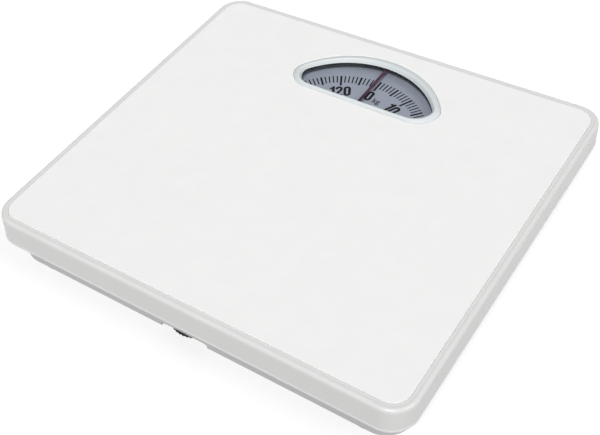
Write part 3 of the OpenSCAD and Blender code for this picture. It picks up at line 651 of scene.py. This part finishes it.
def printed(name, labels, mat):
    """Raised print from flat outlines: labels of (loops, degrees clockwise)."""
    bm = bmesh.new()
    for loops, deg in labels:
        cu = bpy.data.curves.new("print", "CURVE")
        cu.dimensions = "2D"
        cu.fill_mode = "BOTH"
        cu.extrude = 0.1
        for q in loops:
            sp = cu.splines.new("POLY")
            sp.points.add(len(q) - 1)
            for pt, (x, y) in zip(sp.points, q):
                pt.co = (x, y, 0, 1)
            sp.use_cyclic_u = True
        o = bpy.data.objects.new("print", cu)
        bpy.context.scene.collection.objects.link(o)
        bpy.context.view_layer.update()
        me = settled(o)
        for v in me.vertices:
            x, y = turn((v.co.x, v.co.y), deg)
            v.co = Vector((x, y, INK_Z1 if v.co.z > 0 else INK_Z0)) * MM
        bm.from_mesh(me)
        bpy.data.objects.remove(o)
        bpy.data.curves.remove(cu)
        bpy.data.meshes.remove(me)
    bmesh.ops.remove_doubles(bm, verts=bm.verts, dist=1e-7)
    bmesh.ops.recalc_face_normals(bm, faces=bm.faces)
    me = bpy.data.meshes.new(name)
    bm.to_mesh(me)
    bm.free()
    me.materials.clear()
    me.materials.append(mat)
    return finish_object(name, me, 30)


labels = []
for v in range(0, 130, 10):
    text = str(v)
    width = sum(ADVANCE.get(ch, FIG_W) for ch in text) + 0.55 * (len(text) - 1)
    x, loops = -width / 2, []
    for ch in text:
        loops += [q + np.array((x, 35.4)) for q in LOOPS[ch]]
        x += ADVANCE.get(ch, FIG_W) + 0.55
    labels.append((loops, v * 360 / 130 + PRINT))
piece(printed("dial_numerals", labels, M["ink"]), "dial", "black_plastic")


def word(name, text, height, squeeze, x0, r0, deg, mat, bold):
    """Raised print of a short word: its height, squeeze, middle x, foot radius and degrees clockwise."""
    cu = bpy.data.curves.new(name, "FONT")
    cu.body = text
    cu.size = 1.0
    cu.align_x = "CENTER"
    cu.offset = bold
    cu.resolution_u = 5
    cu.extrude = 0.1
    o = bpy.data.objects.new(name, cu)
    bpy.context.scene.collection.objects.link(o)
    bpy.context.view_layer.update()
    me = settled(o)
    co = np.array([v.co for v in me.vertices])
    lo, hi = co.min(0), co.max(0)
    k = height / (hi[1] - lo[1])
    for v in me.vertices:
        x = (v.co.x - (lo[0] + hi[0]) / 2) * k * squeeze + x0
        y = (v.co.y - lo[1]) * k + r0
        x, y = turn((x, y), deg)
        v.co = Vector((x, y, INK_Z1 if v.co.z > 0 else INK_Z0)) * MM
    bpy.data.objects.remove(o)
    bpy.data.curves.remove(cu)
    bm = bmesh.new()
    bm.from_mesh(me)
    bmesh.ops.remove_doubles(bm, verts=bm.verts, dist=1e-7)
    bmesh.ops.recalc_face_normals(bm, faces=bm.faces)
    bm.to_mesh(me)
    bm.free()
    me.materials.clear()
    me.materials.append(mat)
    return finish_object(name, me, 30)


piece(word("dial_unit", "kg", 5.6, 0.95, 6.7, 34.1, PRINT, M["ink_unit"], 0.02), "dial", "black_plastic")

# ================================================================ base pan
s = Shell()
rf = 0.6
lower = [(rf - rf * math.cos(math.radians(a)), 6.2 + rf - rf * math.sin(math.radians(a))) for a in range(0, 91, 15)]
lower_in = [(1.0 + 0.7 - 0.7 * math.cos(math.radians(a)), 7.2 + 0.7 - 0.7 * math.sin(math.radians(a)))
            for a in range(90, -1, -15)]
prof = [(1.0, 28.75), (0.93, 28.9), (0.75, 28.98), (0.5, 29.0), (0.25, 28.98), (0.07, 28.9), (0.0, 28.75)] + lower
outside = [s.ring(rr(BASE, d, z)) for d, z in prof]
s.loft(outside)
inside = [s.ring(rr(BASE, d, z)) for d, z in lower_in]
s.loft(inside)
s.bridge(inside[-1], outside[0])


def stadium(x, y, length, wide, turned_, grow, z, n=12):
    r = wide / 2 + grow
    pts = arc(length / 2, 0, r, -90, 90, n) + arc(-length / 2, 0, r, 90, 270, n)
    c, q = (0, 1) if turned_ else (1, 0)
    return [(x + a * c - b * q, y + a * q + b * c, z) for a, b in pts]


BEADS = [(66, -6, 120, 10, 1), (-66, -6, 120, 10, 1), (0, 84, 86, 9, 0), (0, -2, 76, 9, 0), (0, -36, 60, 9, 0)]
low_holes, top_holes = [], []
for bd in BEADS:
    for z0, dz, gr, store in ((6.2, 1.2, -0.4, low_holes), (7.2, 1.2, 0.5, top_holes)):
        steps = [(0.35, 0.0), (0.05, 0.06), (-0.35, 0.3), (-0.65, 0.7), (-0.95, 0.94), (-1.3, 1.0)]
        rg = [s.ring(stadium(*bd, gr + g, z0 + dz * k)) for g, k in steps]
        s.loft(rg)
        s.face(rg[-1])
        store.append(rg[0])
s.fill([outside[-1]] + low_holes)
s.fill([inside[0]] + top_holes)
pan = s.object("pan_shell", [M["base_paint"]], 40, False)

# the thumb arch in the front edge, and the strip of floor behind it
c = Shell()
hw, x0 = 15.8, -3.0
shape = ([(x0 - hw, 2.0), (x0 + hw, 2.0)] + arc(x0 + hw - 2.4, 7.2, 2.4, 0, 90, 8) +
         arc(x0 - hw + 2.4, 7.2, 2.4, 90, 180, 8))
a = c.ring([(x, -121.5, z) for x, z in shape])
b = c.ring([(x, -116.4, z) for x, z in shape])
c.bridge(a, b)
c.face(a)
c.face(list(reversed(b)))
cut_a = c.object("cut_a", [], 30)
c = Shell()
pts = rr((15.8, 4.0, 2.5), 0, 0, 8)
a = c.ring([(x - 3.0, y - 116.85, 4.0) for x, y, _ in pts])
b = c.ring([(x - 3.0, y - 116.85, 9.0) for x, y, _ in pts])
c.bridge(a, b)
c.face(a)
c.face(list(reversed(b)))
cut_b = c.object("cut_b", [], 30)
for k in (cut_a, cut_b):
    md = pan.modifiers.new("cut", "BOOLEAN")
    md.operation = "DIFFERENCE"
    md.solver = "EXACT"
    md.object = k
bpy.context.view_layer.update()
me = settled(pan)
old = pan.data
pan.modifiers.clear()
pan.data = me
bpy.data.meshes.remove(old)
for k in (cut_a, cut_b):
    bpy.data.objects.remove(k)
pan.data.polygons.foreach_set("use_smooth", [True] * len(pan.data.polygons))
pan.data.set_sharp_from_angle(angle=math.radians(40))
pan.data.update()
w = pan.modifiers.new("weighted", "WEIGHTED_NORMAL")
w.keep_sharp = True
w.weight = 80
piece(pan, "base", "base_paint", "base_pan")

# ================================================================ feet
s = Shell()
for x, y in FEET:
    s.turned([(1.56, 6.2), (1.56, 2.5), (3.4, 2.5), (3.4, 0.45), (3.52, 0.14), (3.85, 0.0),
              (5.6, 0.0), (5.8, 0.1), (5.9, 0.5), (6.7, 0.5), (6.8, 0.1), (7.0, 0.0),
              (8.5, 0.0), (8.7, 0.1), (8.8, 0.5), (9.6, 0.5), (9.7, 0.1), (9.9, 0.0),
              (11.2, 0.0), (11.75, 0.1), (12.2, 0.36), (12.5, 0.75), (12.62, 1.2), (12.9, 5.4), (12.88, 5.8),
              (12.7, 6.1), (12.4, 6.2)], x, y, 72)
piece(s.object("rubber_feet", [M["foot"]], 35), "base", "foot", "foot_pads")

# ================================================================ thumbwheel
s = Shell()
N = 240


def knurl(drop):
    out = []
    for k in range(N):
        a = 2 * math.pi * k / N
        ph = (k % 6) / 6.0
        d = 0.42 * (0.5 + 0.5 * math.cos(2 * math.pi * ph)) ** 1.5
        out.append((15.5 - d - drop, a))
    return out


def wheel_ring(rad, z):
    src = rad if isinstance(rad, list) else [(rad, 2 * math.pi * k / N) for k in range(N)]
    return s.ring([(ZERO[0] + r * math.cos(a), ZERO[1] + r * math.sin(a), z) for r, a in src])


rings = [wheel_ring(2.53, 8.1), wheel_ring(2.75, 7.9), wheel_ring(14.4, 7.9), wheel_ring(knurl(0.45), 7.93),
         wheel_ring(knurl(0.16), 8.03), wheel_ring(knurl(0.03), 8.2), wheel_ring(knurl(0.0), 8.35),
         wheel_ring(knurl(0.0), 8.85), wheel_ring(knurl(0.03), 9.0), wheel_ring(knurl(0.16), 9.17),
         wheel_ring(knurl(0.45), 9.27), wheel_ring(14.4, 9.3), wheel_ring(8.7, 9.3), wheel_ring(8.35, 9.36),
         wheel_ring(8.1, 9.6), wheel_ring(8.0, 10.0), wheel_ring(8.0, 11.6), wheel_ring(7.9, 11.85),
         wheel_ring(7.6, 12.0), wheel_ring(2.75, 12.0), wheel_ring(2.53, 11.8)]
s.loft(rings)
s.bridge(rings[-1], rings[0])
piece(s.object("knurled_wheel", [M["black_plastic"]], 40), "thumbwheel", "black_plastic", "zero_wheel")

# ================================================================ springs
s = Shell()
pts, turns, n = [], 4.5, 4 * 36 + 18
for i in range(n + 1):
    t = i / n
    a = 2 * math.pi * turns * t
    # the end turns lie flat
    u = np.interp(t * turns, [0, 0.6, 0.9, turns - 0.9, turns - 0.6, turns], [0, 0.02, 0.1, 0.9, 0.98, 1])
    pts.append((ZERO[0] + 5.75 * math.cos(a), ZERO[1] + 5.75 * math.sin(a), 25.8 + 7.65 * u))
s.tube(pts, 0.88, 12)
spring = s.object("coil_main", [M["spring"]], 40)
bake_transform(spring)
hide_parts("main_spring")

s = Shell()
for x, y in [(sx * 119.0, sy * 35.0) for sx in (-1, 1) for sy in (-1, 1)]:
    pts = [(x, y + 2.1 * math.sin(a), 12.0 - 2.1 * math.cos(a)) for a in np.linspace(math.radians(35), math.radians(165), 14)]
    pts += [(x + 0.7, y + 1.2, 14.6), (x + 1.7, y + 1.3, 14.9)]
    a0 = math.atan2(1.3, 1.7)
    turns, n = 11.0, 11 * 18
    pts += [(x + 2.4 * math.cos(a0 + 2 * math.pi * turns * i / n), y + 2.4 * math.sin(a0 + 2 * math.pi * turns * i / n),
             15.2 + 15.6 * i / n) for i in range(n + 1)]
    pts += [(x + 1.7, y + 1.5, 31.1), (x + 0.7, y + 1.3, 31.4)]
    pts += [(x, y + 2.1 * math.sin(a), 34.0 - 2.1 * math.cos(a)) for a in np.linspace(math.radians(15), math.radians(145), 14)]
    s.tube(pts, 0.33, 8)
spring = s.object("coils_retaining", [M["spring"]], 40)
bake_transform(spring)
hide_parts("retaining_springs")

s = Shell()
x, z, yr = -4.9, 28.1, DIAL_Y + 20
pts = [(x, yr + 0.55 * math.cos(a), z + 1.0 * math.sin(a)) for a in np.linspace(math.radians(-150), math.radians(60), 9)]
pts += [(x, yr + 1.25, z + 1.3), (x + 0.6, yr + 2.05, z + 1.5)]
a0, turns, n = math.atan2(1.5, 0.6), 19.0, 19 * 16
pts += [(x + 1.6 * math.cos(a0 + 2 * math.pi * turns * i / n), yr + 2.65 + (92.95 - yr) * i / n,
         z + 1.6 * math.sin(a0 + 2 * math.pi * turns * i / n)) for i in range(n + 1)]
pts += [(x + 0.3, 96.2, z + 1.1), (x, 96.9, z + 0.3), (x, 97.6, z), (x, 98.6, z), (x, 99.5, z), (x, 99.75, z - 0.5), (x, 99.6, z - 1.1)]
s.tube(pts, 0.24, 8)
spring = s.object("coil_return", [M["spring"]], 40)
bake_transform(spring)
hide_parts("return_spring")

# ================================================================ stage
fl = bpy.data.meshes.new("floor")
fl.from_pydata([(-6, -6, 0), (6, -6, 0), (6, 6, 0), (-6, 6, 0)], [], [(0, 1, 2, 3)])
floor = bpy.data.objects.new("floor", fl)
bpy.context.scene.collection.objects.link(floor)
fm = bpy.data.materials.new("floor_pale")
fm.use_nodes = True
t = fm.node_tree
pb = t.nodes["Principled BSDF"]
pb.inputs["Base Color"].default_value = (0.45, 0.45, 0.45, 1)
pb.inputs["Emission Color"].default_value = (1, 1, 1, 1)
pb.inputs["Emission Strength"].default_value = 0.585
pb.inputs["Roughness"].default_value = 0.9
pb.inputs["Specular IOR Level"].default_value = 0.1
geo = t.nodes.new("ShaderNodeNewGeometry")
see = t.nodes.new("ShaderNodeBsdfTransparent")
mx = t.nodes.new("ShaderNodeMixShader")
t.links.new(geo.outputs["Backfacing"], mx.inputs["Fac"])
t.links.new(pb.outputs["BSDF"], mx.inputs[1])
t.links.new(see.outputs["BSDF"], mx.inputs[2])
t.links.new(mx.outputs["Shader"], t.nodes["Material Output"].inputs["Surface"])
fl.materials.append(fm)
floor.visible_diffuse = False

scene = bpy.context.scene
world = bpy.data.worlds.new("world")
scene.world = world
world.use_nodes = True
world.node_tree.nodes["Background"].inputs["Color"].default_value = (1, 1, 1, 1)
world.node_tree.nodes["Background"].inputs["Strength"].default_value = 0.34


def sun(name, strength, angle, direction):
    li = bpy.data.lights.new(name, "SUN")
    li.energy = strength
    li.angle = math.radians(angle)
    o = bpy.data.objects.new(name, li)
    scene.collection.objects.link(o)
    o.rotation_mode = "QUATERNION"
    o.rotation_quaternion = Vector(direction).normalized().to_track_quat("Z", "Y")


for name, strength, angle, ka, ke in (("key", 2.02, 12, 20.0, 52.5), ("side", 0.74, 30, 95.0, 45.0)):
    ka, ke = math.radians(ka), math.radians(ke)
    sun(name, strength, angle, (math.sin(ka) * math.cos(ke), -math.cos(ka) * math.cos(ke), math.sin(ke)))
scene.view_settings.view_transform = "Standard"
scene.view_settings.look = "None"
scene.view_settings.exposure = 0.0
scene.view_settings.gamma = 1.0
